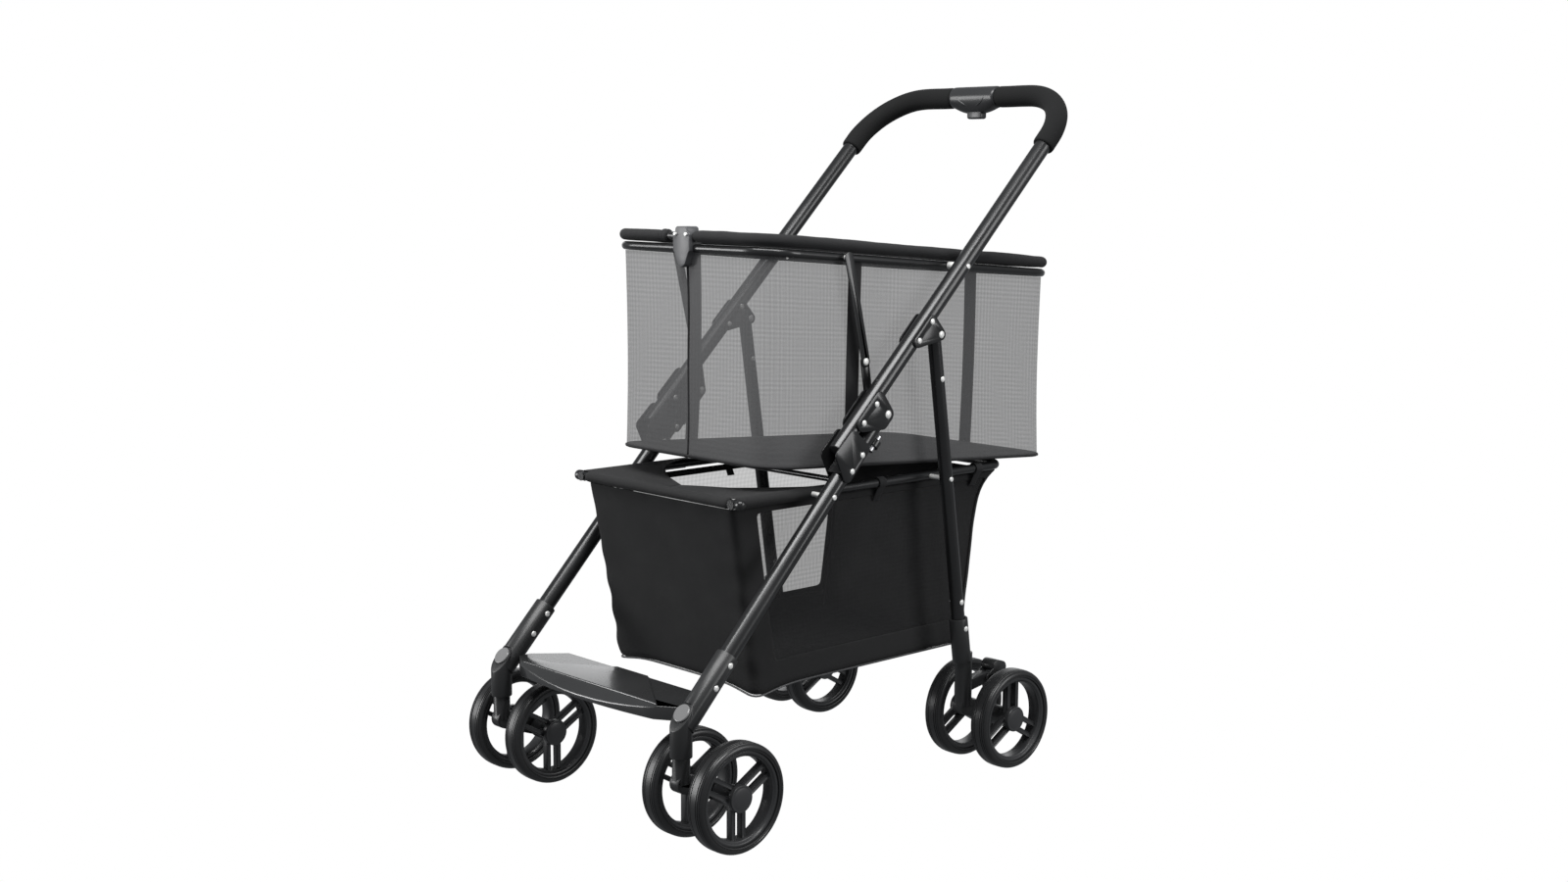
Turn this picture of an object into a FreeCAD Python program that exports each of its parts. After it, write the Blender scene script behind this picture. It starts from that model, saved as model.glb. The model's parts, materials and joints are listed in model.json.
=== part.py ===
import FreeCAD, Part
import math
import os

# Folding pet stroller, millimetres, +Z up, front towards -Y, +X is its left side.
# The origin is on the floor under the middle of its outer box.
# Left pieces are modelled and the right ones are their mirror images.

V = FreeCAD.Vector

# --- main frame ---
frame_half = 203.0                       # middle plane to the axis of each frame tube
tube_r, tube_wall = 12.5, 1.5
lower_angle, upper_angle = 46.4, 44.5    # degrees above level, going to the rear
fold_pivot = (-27.5, 552.6)              # y, z of the main hinge
tube_gap = 27.5                          # hinge to the upper tube's axis
upper_end, grip_start, bar_at = -92.0, 508.0, 622.2     # along the upper tube
handle_bend_r = 95.0
grip_r, grip_gap, middle_r = 17.0, 47.0, 17.5
leg_pivot_at, rim_pivot_at = 151.7, 260.0
lower_end, tube_foot, sleeve_top = -6.0, 525.0, 415.0    # down the lower tube
rail_pivot_at, brace_at, brace_r = 147.9, 119.5, 4.0
sleeve_rivets_at, saddle_rivets_at = (428.0, 464.0), (73.0, 102.0)
handle_rivets_at = (-5.0, -40.0, 114.5, 151.5)

# --- rear legs and basket rails ---
leg_r, leg_lean, leg_link = 10.0, 8.5, 216.0
leg_top, leg_foot, leg_end, leg_sleeve_top = -9.0, 470.0, 500.0, 432.0   # down the leg
leg_rivets_at, leg_sleeve_rivet_at, leg_sleeve_wall = (66.0, 406.0), 447.0, 4.0
rail_wall, rail_eye = 1.2, 8.0
rail_r, rail_half, rail_bend_r, rail_front, rail_rear = 6.5, 165.0, 32.0, -258.0, 286.0
bar_y, bar_r, bar_half = -268.0, 6.0, 172.0
nut_r, nut_length = 7.5, 12.0
loop_wall, loop_length, loop_places = 2.0, 14.0, (5.0, 215.0)

# --- wheels and casters ---
wheel_r, tyre_half, tyre_seat, tyre_round = 75.0, 15.5, 64.2, 5.0
twin_half = 46.0                         # caster middle to each wheel's middle
front_axle, rear_axle, trail = -339.5, 213.5, 55.0
axle_r, axle_half, fit = 4.0, 54.0, 0.05
arm_half, arm_r, arm_top_z, arm_boss_r, arm_boss_half = 9.0, 13.0, 95.0, 8.0, 13.2
stem_r, housing_r, housing_low, collar_high = 12.0, 15.0, 130.0, 129.4
swivel_r, swivel_high = 5.0, 160.0
sleeve_r, sleeve_foot, sleeve_kept, stem_top = 16.0, 528.0, 500.0, 215.0
cap_middle_z, cap_tilt, cap_r, cap_t = 190.0, 50.0, 13.0, 3.0
rear_stem_top, ear_z, ear_r = 178.0, 125.0, 8.0
spokes_from = {"front": 180.0, "rear": 0.0}      # where the first pair points, turned from up
rim_ring_r, spoke_width, spoke_apart, spoke_back, spoke_front = 56.0, 7.0, 9.0, -5.0, 6.0
boss_r, hub_cap_r, hub_cap_back, hub_cap_front, ring_half = 15.0, 19.0, 4.0, 13.0, 13.0

# --- upper basket ---
rim_half, rim_front, rim_rear, rim_corner = 171.5, -211.0, 391.0, 50.0
rim_slope = -0.079                       # rise per millimetre towards the rear
pad_r, rim_r, rim_step = 9.0, 6.0, 16.5
cloth, basket_floor_z, floor_slope = 2.0, 473.0, -0.062
bracket_half, bracket_deep, bracket_up, bracket_down = 18.0, 13.0, 14.0, 26.0
bracket_round, bracket_rivet_x, bracket_rivet_up = 6.0, 11.5, 3.0
spacer_r = 5.5

# --- lower basket: half width, front y, rear y, z ---
bag_top = (156.5, -256.0, 278.0, 438.0)
bag_foot = (155.0, -218.0, 214.0, 176.0)
bag_corner = 14.0

# --- small parts ---
plate_t, plate_gap, clear, hair = 2.6, 0.4, 0.5, 0.02
rivet_r, rivet_head_r, rivet_head_t, pin_r = 2.5, 4.6, 1.6, 3.5
knee = (-39.5, 625.0)
lever_x, lever_t, strut_x, strut_t, strap_r = 181.6, 2.0, 184.0, 1.6, 8.0
strut_top_y = -74.5
saddle_edge, saddle_r = ((66.0, 31.0), (64.0, 2.0), (112.0, 2.0), (100.0, 33.0)), 9.0
saddle_web = ((56.0, 11.5), (56.0, 14.2), (116.0, 14.2), (116.0, 11.5))
hinge_edge, hinge_edge_r = ((-42.0, tube_gap), (4.0, tube_gap), (0.0, 0.0), (-14.0, 0.0)), 11.0
leg_plate_edge, leg_plate_r = ((112.0, tube_gap), (153.0, tube_gap), (leg_pivot_at, 0.0)), 8.5
tray_half, tray_waist, panel_half = 187.0, 150.0, 34.0
tray_back, tray_front, tray_bow = -311.0, -398.0, 12.0
tray_end_back, tray_end_front = -355.0, -374.0
tray_low, tray_high, ridge_t, tray_slope = 170.0, 189.0, 2.5, 4.0
guide_at, guide_half, guide_wall = 39.0, 5.0, 3.5
latch_r, latch_length, latch_n = 5.0, 26.0, -19.5
block_half, block_deep, block_drop = 20.0, 11.0, 27.0    # the trigger housing's lower part
tab_half, tab_deep, tab_low, tab_high = 14.5, 7.0, -34.0, -19.5
pedal_pivot, pedal_t, pedal_pin_r = (205.0, 132.0), 3.0, 2.5
pedal_cheek, pedal_cheek_r = (26.0, 14.0), 7.0           # from the pedal's pivot
pedal_tread, pedal_tread_r = ((18.0, 14.0), (28.0, 11.0)), 10.0


def along(s, n=0.0):
    """y, z of a point s up the upper tube from the hinge and n in front of it."""
    a = math.radians(upper_angle)
    return (fold_pivot[0] + s * math.cos(a) - n * math.sin(a),
            fold_pivot[1] + s * math.sin(a) + n * math.cos(a))


def down(d, n=0.0):
    """y, z of a point d down the lower tube from the hinge and n in front of it."""
    a = math.radians(lower_angle)
    return (fold_pivot[0] - d * math.cos(a) - n * math.sin(a),
            fold_pivot[1] - d * math.sin(a) + n * math.cos(a))


def leg_at(d):
    """y, z of a point d down the rear leg from its pivot."""
    a = math.radians(leg_lean)
    y, z = along(leg_pivot_at)
    return (y + d * math.sin(a), z - d * math.cos(a))


def rim_z(y):
    """Height of the lower rim tube's axis at y."""
    return rim_pivot[1] + rim_slope * (y - rim_pivot[0])


leg_pivot = along(leg_pivot_at)
rim_pivot = along(rim_pivot_at, tube_gap)
rail_pivot = down(rail_pivot_at)
open_pivot = leg_at(leg_link)
rail_z = rail_pivot[1]
strut_top = (strut_top_y, rim_z(strut_top_y))
outer_face, inner_face = frame_half + tube_r, frame_half - tube_r
plate_outside = outer_face + plate_gap
plate_inside = inner_face - plate_gap


# ---------------------------------------------------------------- shape helpers
def rod(p, q, r):
    """A solid cylinder of radius r from point p to point q."""
    p, q = V(*p), V(*q)
    return Part.makeCylinder(r, (q - p).Length, p, q - p)


def pin(yz, x0, x1, r):
    """A cylinder along X through y, z."""
    return rod((x0, *yz), (x1, *yz), r)


def rivet(yz, x0, x1, r=rivet_r):
    """A rivet between x0 and x1, with a domed head outside each."""
    solid = pin(yz, x0, x1, r)
    head_r = r + rivet_head_r - rivet_r
    for x, way in ((x0, -1), (x1, 1)):
        head = Part.makeCone(head_r, 0.6 * head_r, rivet_head_t, V(x, *yz), V(way, 0, 0))
        solid = solid.fuse(head)
    return solid.removeSplitter()


def block(x0, x1, y0, y1, z0, z1):
    return Part.makeBox(x1 - x0, y1 - y0, z1 - z0, V(x0, y0, z0))


def plate(points, r, x0, x1):
    """A flat plate whose edge lies r outside the line or polygon through the y, z points."""
    if len(points) == 2:
        (y0, z0), (y1, z1) = points
        far = hair / math.hypot(y1 - y0, z1 - z0)
        sideways = ((z0 - z1) * far, (y1 - y0) * far)
        points = list(points) + [(y + sideways[0], z + sideways[1]) for y, z in points[::-1]]
    corners = [V(x0, y, z) for y, z in points]
    edge = Part.makePolygon(corners + corners[:1]).makeOffset2D(r)
    return Part.Face(edge).extrude(V(x1 - x0, 0, 0))


def less(shape, tools):
    for tool in tools:
        shape = shape.cut(tool)
    return shape


def mirrored(shape):
    return shape.mirror(V(0, 0, 0), V(1, 0, 0))


def both(shape):
    """A left piece and its mirror image."""
    return Part.makeCompound([shape, mirrored(shape)])


def rounded_box(half, front, rear, r):
    """A closed level outline with four rounded corners, at z = 0."""
    slab = block(-half, half, front, rear, -1, 0)
    uprights = [e for e in slab.Edges if abs(e.BoundBox.ZLength - 1) < clear]
    top = max(slab.makeFillet(r, uprights).Faces, key=lambda f: f.CenterOfMass.z)
    return top.OuterWire


def swept(path, r):
    """A round bar of radius r along a wire."""
    first = path.OrderedEdges[0]
    start, way = first.valueAt(first.FirstParameter), first.tangentAt(first.FirstParameter)
    ring = Part.Wire(Part.makeCircle(r, start, way))
    return path.makePipeShell([ring], True, False)


def u_path(half, start, end, r, place):
    """A U in a plane: up one side from start, across at end, down the other side."""
    k = r * (1 - math.sqrt(0.5))
    p = [place(half, start), place(half, end - r), place(half - k, end - k), place(half - r, end),
         place(r - half, end), place(k - half, end - k), place(-half, end - r), place(-half, start)]
    return Part.Wire([Part.makeLine(p[0], p[1]), Part.Arc(p[1], p[2], p[3]).toShape(),
                      Part.makeLine(p[3], p[4]), Part.Arc(p[4], p[5], p[6]).toShape(),
                      Part.makeLine(p[6], p[7])])


# ---------------------------------------------------------------- pins that others turn on
def fold_pin():
    return rivet(fold_pivot, lever_x, plate_outside + plate_t, axle_r)


def leg_pin():
    return rivet(leg_pivot, plate_inside - plate_t, plate_outside + plate_t, pin_r)


def rail_pin():
    return pin(rail_pivot, rail_half - rail_r + 2 * clear, outer_face + rivet_head_t, pin_r)


def rim_pin():
    return pin(rim_pivot, rim_half - rim_r + 2 * clear, outer_face + rivet_head_t, pin_r)


def knee_pin():
    return rivet(knee, lever_x, strut_x + strut_t, pin_r)


def bores(*pins_and_radii):
    """The holes that turn on pins: each is a pin's place, x range and radius, plus the fit."""
    return [pin(yz, x0, x1, r + fit) for yz, x0, x1, r in pins_and_radii]


# ---------------------------------------------------------------- lower frame
def lower_rivets():
    """The left side's rivets through the lower tube."""
    places = [down(d) for d in sleeve_rivets_at + saddle_rivets_at]
    outside = [sleeve_r - tube_r, sleeve_r - tube_r, plate_gap + plate_t, plate_gap + plate_t]
    inside = [sleeve_r - tube_r, sleeve_r - tube_r, inner_face - lever_x, plate_gap + plate_t]
    return [rivet(p, inner_face - i, outer_face + o) for p, o, i in zip(places, outside, inside)]


def bare_lower_tube(r=tube_r):
    return rod((frame_half, *down(lower_end)), (frame_half, *down(tube_foot)), r)


def lower_tube():
    shape = bare_lower_tube().cut(bare_lower_tube(tube_r - tube_wall))
    return less(shape, lower_rivets() + [fold_pin(), rail_pin(), brace_rod()])


def foot_envelope():
    """Everything that the left foot fills, without its hollows."""
    y = front_axle - trail
    shape = rod((frame_half, *down(sleeve_top)), (frame_half, *down(sleeve_foot)), sleeve_r)
    return shape.fuse(rod((frame_half, y, housing_low), (frame_half, y, stem_top), housing_r))


def kept_sleeve():
    """The part of the sleeve that the slanting cut doesn't reach."""
    return rod((frame_half, *down(sleeve_top)), (frame_half, *down(sleeve_kept)), sleeve_r)


def stem_housing():
    """The moulded foot of the lower tube, with the caster's swivel bore."""
    y = front_axle - trail
    a = math.radians(cap_tilt)
    lid = block(-trail, trail, -trail, trail, 0, trail)
    lid.rotate(V(0, 0, 0), V(1, 0, 0), cap_tilt)
    lid.translate(V(frame_half, y + cap_t * math.sin(a), cap_middle_z - cap_t * math.cos(a)))
    shape = foot_envelope().cut(lid).fuse(kept_sleeve()).removeSplitter()
    hollow = bare_lower_tube()
    bore = rod((frame_half, y, housing_low - 1), (frame_half, y, swivel_high + 2 * clear),
               swivel_r + fit)
    return less(shape, lower_rivets() + [hollow, bore])


def stem_cap():
    """The slanting oval cap on top of the housing."""
    y, a = front_axle - trail, math.radians(cap_tilt)
    way = V(0, -math.sin(a), math.cos(a))
    base = V(frame_half, y + cap_t * math.sin(a), cap_middle_z - cap_t * math.cos(a))
    disc = Part.makeCylinder(cap_r, cap_t, base, way)
    rim = max(disc.Edges, key=lambda e: e.CenterOfMass.z)
    shape = disc.makeFillet(0.4 * cap_t, [rim])
    return less(shape, [kept_sleeve(), bare_lower_tube()])


def tray():
    """The moulded cross member between the front feet, with a raised middle panel."""
    left = [(tray_waist, tray_front), (tray_half, tray_end_front), (tray_half, tray_end_back),
            (tray_waist, tray_back)]
    corners = [V(x, y, tray_low) for x, y in left] + [V(-x, y, tray_low) for x, y in left[::-1]]
    bow = Part.Arc(corners[-1], V(0, tray_front - tray_bow, tray_low), corners[0]).toShape()
    edge = Part.Wire([Part.makeLine(a, b) for a, b in zip(corners, corners[1:])] + [bow])
    shape = Part.Face(edge).extrude(V(0, 0, tray_high - tray_low))
    beyond = tray_front - tray_bow - tray_slope
    slope = [(tray_front + tray_slope, tray_high + 1), (beyond, tray_high + 1), (beyond, tray_low + 2)]
    wedge = Part.Face(Part.makePolygon([V(-tray_half, *p) for p in slope + slope[:1]]))
    shape = shape.cut(wedge.extrude(V(2 * tray_half, 0, 0)))
    front = tray_front + tray_slope + 1
    panel = [(-panel_half, tray_back - 1), (panel_half, tray_back - 1), (tray_waist, front),
             (-tray_waist, front)]
    raised = Part.Face(Part.makePolygon([V(x, y, tray_high) for x, y in panel + panel[:1]]))
    shape = shape.fuse(raised.extrude(V(0, 0, ridge_t))).removeSplitter()
    return less(shape, [foot_envelope(), mirrored(foot_envelope())])


def saddle():
    """A U channel on the lower tube that holds the upper tube's lower end."""
    points = [down(*p) for p in saddle_edge]
    cheeks = [plate(points, saddle_r, plate_outside, plate_outside + plate_t),
              plate(points, saddle_r, plate_inside - plate_t, plate_inside)]
    web = [down(*p) for p in saddle_web]
    floor = Part.makePolygon([V(plate_inside - plate_t, *p) for p in web + web[:1]])
    floor = Part.Face(floor).extrude(V(plate_outside - plate_inside + 2 * plate_t, 0, 0))
    shape = cheeks[0].fuse(cheeks[1]).fuse(floor).removeSplitter()
    return less(shape, lower_rivets() + [bare_lower_tube(), brace_rod()])


def brace_rod():
    """The left half of the thin rod that joins the two lower tubes."""
    return pin(down(brace_at), 0, outer_face, brace_r)


def lever():
    """The short arm that the basket strut turns on."""
    root, hinge = down(saddle_rivets_at[0]), fold_pivot
    shape = plate([root, hinge], strap_r, lever_x, lever_x + lever_t)
    shape = shape.fuse(plate([hinge, knee], strap_r, lever_x, lever_x + lever_t))
    return less(shape.removeSplitter(), lower_rivets() + [fold_pin(), knee_pin()])


def latch_guide():
    """A ring behind the lower tube that carries the latch bolt."""
    def bar(half, r):
        return rod((frame_half, *down(guide_at - half, latch_n)),
                   (frame_half, *down(guide_at + half, latch_n)), r)

    return less(bar(guide_half, latch_r + guide_wall),
                [bar(guide_half + 1, latch_r + fit), bare_lower_tube()])


def latch():
    """The spring bolt that locks the main hinge."""
    return rod((frame_half, *down(guide_at - latch_length / 2, latch_n)),
               (frame_half, *down(guide_at + latch_length / 2, latch_n)), latch_r)


# ---------------------------------------------------------------- handle frame
def handle_rivets():
    """The left side's rivets through the upper tube."""
    reach = plate_gap + plate_t
    places = [along(s, tube_gap) for s in handle_rivets_at]
    return [rivet(p, inner_face - reach, outer_face + reach) for p in places]


def handle_place(x, s):
    return V(x, *along(s, tube_gap))


def handle_bar(r, start):
    """A bar along the whole handle, from start up one side to start on the other."""
    return swept(u_path(frame_half, start, bar_at, handle_bend_r, handle_place), r)


def handle_tube():
    shape = handle_bar(tube_r, upper_end).cut(handle_bar(tube_r - tube_wall, upper_end))
    cross = handle_rivets() + [rim_pin()]
    return less(shape, cross + [mirrored(c) for c in cross])


def grip():
    """The foam sleeve, in two lengths that meet the trigger housing."""
    shape = handle_bar(grip_r, grip_start).cut(handle_bar(tube_r, grip_start))
    y, z = along(bar_at, tube_gap)
    reach = 2 * grip_r
    return shape.cut(block(-grip_gap, grip_gap, y - reach, y + reach, z - reach, z + reach))


def trigger_housing():
    """The moulded middle of the handle, with a slot for the fold trigger."""
    y, z = along(bar_at, tube_gap)
    half = grip_gap - clear / 5
    shape = rod((-half, y, z), (half, y, z), middle_r)
    shape = shape.fuse(block(-block_half, block_half, y - block_deep, y + block_deep,
                             z - block_drop, z))
    shape = shape.cut(rod((-half, y, z), (half, y, z), tube_r))
    slot = block(-tab_half - clear, tab_half + clear, y - tab_deep - clear, y + tab_deep + clear,
                 z - block_drop - 1, z - tube_r + 1)
    return shape.cut(slot)


def trigger():
    """The tab that is squeezed up into the housing to fold the frame."""
    y, z = along(bar_at, tube_gap)
    shape = block(-tab_half, tab_half, y - tab_deep, y + tab_deep, z + tab_low, z + tab_high)
    low = [e for e in shape.Edges if e.BoundBox.ZMax < z + tab_low + clear]
    return shape.makeFillet(tab_deep / 2, low)


def hinge_plates():
    """The pair of plates that join one upper tube to the main hinge."""
    points = [along(*p) for p in hinge_edge]
    pair = []
    for x in (plate_outside, plate_inside - plate_t):
        shape = plate(points, hinge_edge_r, x, x + plate_t)
        pair.append(less(shape, handle_rivets() + bores(
            (fold_pivot, lever_x - 2, plate_outside + 2 * plate_t, axle_r))))
    return pair


def leg_brackets():
    """The pair of plates that carry one rear leg's pivot."""
    points = [along(*p) for p in leg_plate_edge]
    pair = []
    for x in (plate_outside, plate_inside - plate_t):
        pair.append(less(plate(points, leg_plate_r, x, x + plate_t),
                         handle_rivets() + [leg_pin()]))
    return pair


def rim_spacer():
    """The bush between the upper tube and the basket rim."""
    shape = pin(rim_pivot, rim_half + rim_r + clear, inner_face, spacer_r)
    bare = rod((frame_half, *along(rim_pivot_at - tube_gap, tube_gap)),
               (frame_half, *along(rim_pivot_at + tube_gap, tube_gap)), tube_r)
    return less(shape, [rim_pin(), bare])


# ---------------------------------------------------------------- rear legs
def leg_rivets():
    """The left rear leg's rivets, and the stub of the pivot that meets the rail."""
    found = [rivet(leg_at(d), frame_half - leg_r, frame_half + leg_r) for d in leg_rivets_at]
    reach = leg_r + leg_sleeve_wall
    found.append(rivet(leg_at(leg_sleeve_rivet_at), frame_half - reach, frame_half + reach))
    found.append(pin(open_pivot, rail_half + rail_r + clear, frame_half + leg_r + rivet_head_t,
                     pin_r))
    return found


def leg_tube():
    ends = (frame_half, *leg_at(leg_top)), (frame_half, *leg_at(leg_foot))
    shape = rod(*ends, leg_r).cut(rod(*ends, leg_r - tube_wall))
    return less(shape, leg_rivets() + bores(
        (leg_pivot, plate_inside, plate_outside, pin_r)))


def rear_housing():
    """The moulded foot of the rear leg, with the arm that carries the axle."""
    y = rear_axle - trail
    shape = rod((frame_half, *leg_at(leg_sleeve_top)), (frame_half, *leg_at(leg_end)),
                leg_r + leg_sleeve_wall)
    top = rod((frame_half, y, arm_top_z), (frame_half, y, rear_stem_top), stem_r + 1)
    shape = shape.fuse(top).fuse(axle_arm(rear_axle))
    ear = plate([(y, ear_z), pedal_pivot], ear_r, frame_half - arm_half, frame_half + arm_half)
    shape = shape.fuse(ear).removeSplitter()
    hollow = rod((frame_half, *leg_at(leg_sleeve_top - 1)), (frame_half, *leg_at(leg_foot)), leg_r)
    return less(shape, [hollow, axle(rear_axle), pedal_pin()] + leg_rivets())


def axle_arm(y):
    """The trailing arm from the stem to the axle."""
    shape = plate([(y - trail, arm_top_z), (y, wheel_r)], arm_r,
                  frame_half - arm_half, frame_half + arm_half)
    return shape.fuse(pin((y, wheel_r), frame_half - arm_boss_half, frame_half + arm_boss_half,
                          arm_boss_r))


def axle(y):
    return pin((y, wheel_r), frame_half - axle_half, frame_half + axle_half, axle_r)


def pedal_pin():
    reach = arm_half + pedal_t
    return pin(pedal_pivot, frame_half - reach, frame_half + reach, pedal_pin_r)


def brake_pedal():
    """The foot lever over the rear axle: two cheeks under a rounded tread."""
    y, z = pedal_pivot
    inner = arm_half + clear
    outer = inner + pedal_t
    cheek = [(y, z), (y + pedal_cheek[0], z + pedal_cheek[1])]
    shape = plate(cheek, pedal_cheek_r, frame_half + inner, frame_half + outer)
    shape = shape.fuse(plate(cheek, pedal_cheek_r, frame_half - outer, frame_half - inner))
    tread = plate([(y + a, z + b) for a, b in pedal_tread], pedal_tread_r,
                  frame_half - outer, frame_half + outer)
    return less(shape.fuse(tread).removeSplitter(),
                [pin(pedal_pivot, frame_half - outer - 1, frame_half + outer + 1,
                     pedal_pin_r + fit)])


# ---------------------------------------------------------------- casters and wheels
def fork():
    """The swivelling front fork: collar, pin and trailing arm."""
    y = front_axle - trail
    shape = rod((frame_half, y, arm_top_z), (frame_half, y, collar_high), stem_r)
    shape = shape.fuse(rod((frame_half, y, collar_high), (frame_half, y, swivel_high), swivel_r))
    return shape.fuse(axle_arm(front_axle)).removeSplitter().cut(axle(front_axle))


def hub(x, y, out, turned):
    """A wheel's body with three pairs of spokes; out is +1 if its cap faces +X."""
    at = V(x, y, wheel_r)
    way = V(out, 0, 0)

    def ring(r, back, front):
        return Part.makeCylinder(r, front - back, at + way * back, way)

    shape = ring(tyre_seat, -ring_half, ring_half).cut(ring(rim_ring_r, -tyre_half, tyre_half))
    inner_end = arm_boss_half + 0.3 - twin_half
    shape = shape.fuse(ring(boss_r, inner_end, hub_cap_back))
    shape = shape.fuse(ring(hub_cap_r, hub_cap_back, hub_cap_front))
    for turn in range(3):
        for side in (-spoke_apart, spoke_apart):
            bar = Part.makeBox(spoke_front - spoke_back, spoke_width, rim_ring_r + 3 - boss_r / 2,
                               V(min(out * spoke_back, out * spoke_front),
                                 side - spoke_width / 2, boss_r / 2))
            bar.rotate(V(0, 0, 0), V(1, 0, 0), turned + 120 * turn)
            bar.translate(at)
            shape = shape.fuse(bar)
    hole = ring(axle_r + fit, inner_end - 1, axle_half - twin_half + 1)
    return shape.removeSplitter().cut(hole)


def tyre(x, y):
    at = V(x - tyre_half, y, wheel_r)
    shape = Part.makeCylinder(wheel_r, 2 * tyre_half, at, V(1, 0, 0))
    shape = shape.makeFillet(tyre_round, [e for e in shape.Edges if e.Closed and len(e.Vertexes) == 1])
    return shape.cut(Part.makeCylinder(tyre_seat, 2 * tyre_half, at, V(1, 0, 0)))


# ---------------------------------------------------------------- basket rails and lower basket
def rail_place(x, y):
    return V(x, y, rail_z)


def rail():
    path = u_path(rail_half, rail_front, rail_rear, rail_bend_r, rail_place)
    shape, inner = swept(path, rail_r), swept(path, rail_r - rail_wall)
    holes = bores((rail_pivot, rail_half - 2 * rail_r, rail_half + 2 * rail_r, pin_r))
    eye = rod((rail_half, bar_y - rail_eye, rail_z), (rail_half, rail_front + 1, rail_z), rail_r)
    shape = shape.cut(inner).fuse(eye).fuse(mirrored(eye))
    return less(shape, holes + [mirrored(h) for h in holes] + [front_bar()])


def front_bar():
    return pin((bar_y, rail_z), -bar_half, bar_half, bar_r)


def bar_nut():
    """The domed nut on the end of the front bar."""
    shape = pin((bar_y, rail_z), bar_half, bar_half + nut_length, nut_r)
    tip = max(shape.Edges, key=lambda e: e.CenterOfMass.x)
    return shape.makeFillet(0.8 * nut_r, [tip])


def bag_loops():
    """The cloth loops that hang the basket from one rail."""
    found = []
    for y in loop_places:
        outer = rod((rail_half, y, rail_z), (rail_half, y + loop_length, rail_z),
                    rail_r + loop_wall)
        found.append(outer.cut(rod((rail_half, y, rail_z), (rail_half, y + loop_length, rail_z),
                                   rail_r)))
    return found


def tapered(top, foot, r, shrink):
    """A tapering closed solid between two rounded outlines, shrink smaller all round."""
    wires = []
    for half, front, rear, z in (foot, top):
        wire = rounded_box(half - shrink, front + shrink, rear - shrink, r)
        wire.translate(V(0, 0, z))
        wires.append(wire)
    return Part.makeLoft(wires, True, True)


def lower_basket():
    outer = tapered(bag_top, bag_foot, bag_corner, 0)
    inner = tapered(bag_top[:3] + (bag_top[3] + clear,), bag_foot[:3] + (bag_foot[3] + cloth,),
                    bag_corner - cloth, cloth)
    return outer.cut(inner)


# ---------------------------------------------------------------- upper basket and its rim
def rim_tube(r, lift):
    """A rim tube all round, lift above the lower one."""
    path = rounded_box(rim_half, rim_front, rim_rear, rim_corner)
    path.rotate(V(0, rim_pivot[0], 0), V(1, 0, 0), math.degrees(math.atan(rim_slope)))
    path.translate(V(0, 0, rim_pivot[1] + lift))
    return swept(path, r)


def strut_top_pin():
    """The stud on the rim that meets the strut."""
    return pin(strut_top, rim_half, strut_x - clear, pin_r)


def lower_rim():
    tools = bores((rim_pivot, rim_half - 2 * rim_r, rim_half + 2 * rim_r, pin_r))
    tools.append(strut_top_pin())
    return less(rim_tube(rim_r, 0), tools + [mirrored(t) for t in tools])


def rim_bracket():
    """The shield-shaped joint where the rim tubes meet at the front."""
    z = rim_z(rim_front)
    y = rim_front
    shape = block(-bracket_half, bracket_half, y - bracket_deep, y + bracket_deep,
                  z - bracket_down, z + rim_step + bracket_up)
    edges = [e for e in shape.Edges if e.BoundBox.YLength > bracket_deep]
    shape = shape.makeFillet(bracket_round, edges)
    return less(shape, [rim_tube(pad_r, rim_step), rim_tube(rim_r, 0), upper_basket()]
                + rim_rivets())


def rim_rivets():
    """The two short rivets in the face of the front joint."""
    z, front = rim_z(rim_front) + rim_step + bracket_rivet_up, rim_front - bracket_deep
    return [rod((x, front - 1, z), (x, front + rivet_r, z), rivet_r)
            for x in (-bracket_rivet_x, bracket_rivet_x)]


def between_floor_and_rim(floor_lift, rim_lift):
    """Everything between the basket's floor and its rim, each moved up by its lift."""
    ends = (rim_front - rim_corner, rim_rear + rim_corner)
    low = [(y, basket_floor_z + floor_slope * y + floor_lift) for y in ends]
    high = [(y, rim_z(y) + rim_lift) for y in ends[::-1]]
    side = rim_half + rim_corner
    edge = Part.makePolygon([V(-side, y, z) for y, z in low + high + low[:1]])
    return Part.Face(edge).extrude(V(2 * side, 0, 0))


def upper_basket():
    """The open mesh basket: an upright wall all round and a floor."""
    top = -rim_r - clear

    def upright(shrink):
        wire = rounded_box(rim_half - shrink, rim_front + shrink, rim_rear - shrink,
                           rim_corner - shrink)
        return Part.Face(wire).extrude(V(0, 0, 2 * basket_floor_z))

    outer = upright(0).common(between_floor_and_rim(0, top))
    return outer.cut(upright(cloth).common(between_floor_and_rim(cloth, top + 1)))


def strut():
    """The flat link between the knee lever and the rim."""
    shape = plate([knee, strut_top], strap_r, strut_x, strut_x + strut_t)
    return shape.cut(pin(knee, lever_x, strut_x + 2 * strut_t, pin_r + fit))


# ---------------------------------------------------------------- the whole stroller
def sided():
    """Each left piece that has its own node on both sides."""
    return {
        "lower_tube": lower_tube(),
        "stem_housing": stem_housing(),
        "latch": latch(),
        "rear_leg": leg_tube(),
        "rear_leg_pins": Part.makeCompound(leg_rivets() + [axle(rear_axle), pedal_pin()]),
        "rear_housing": rear_housing(),
        "brake_pedal": brake_pedal(),
        "caster_fork": fork(),
        "caster_axle": axle(front_axle),
        "basket_strut": strut(),
    }


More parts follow.
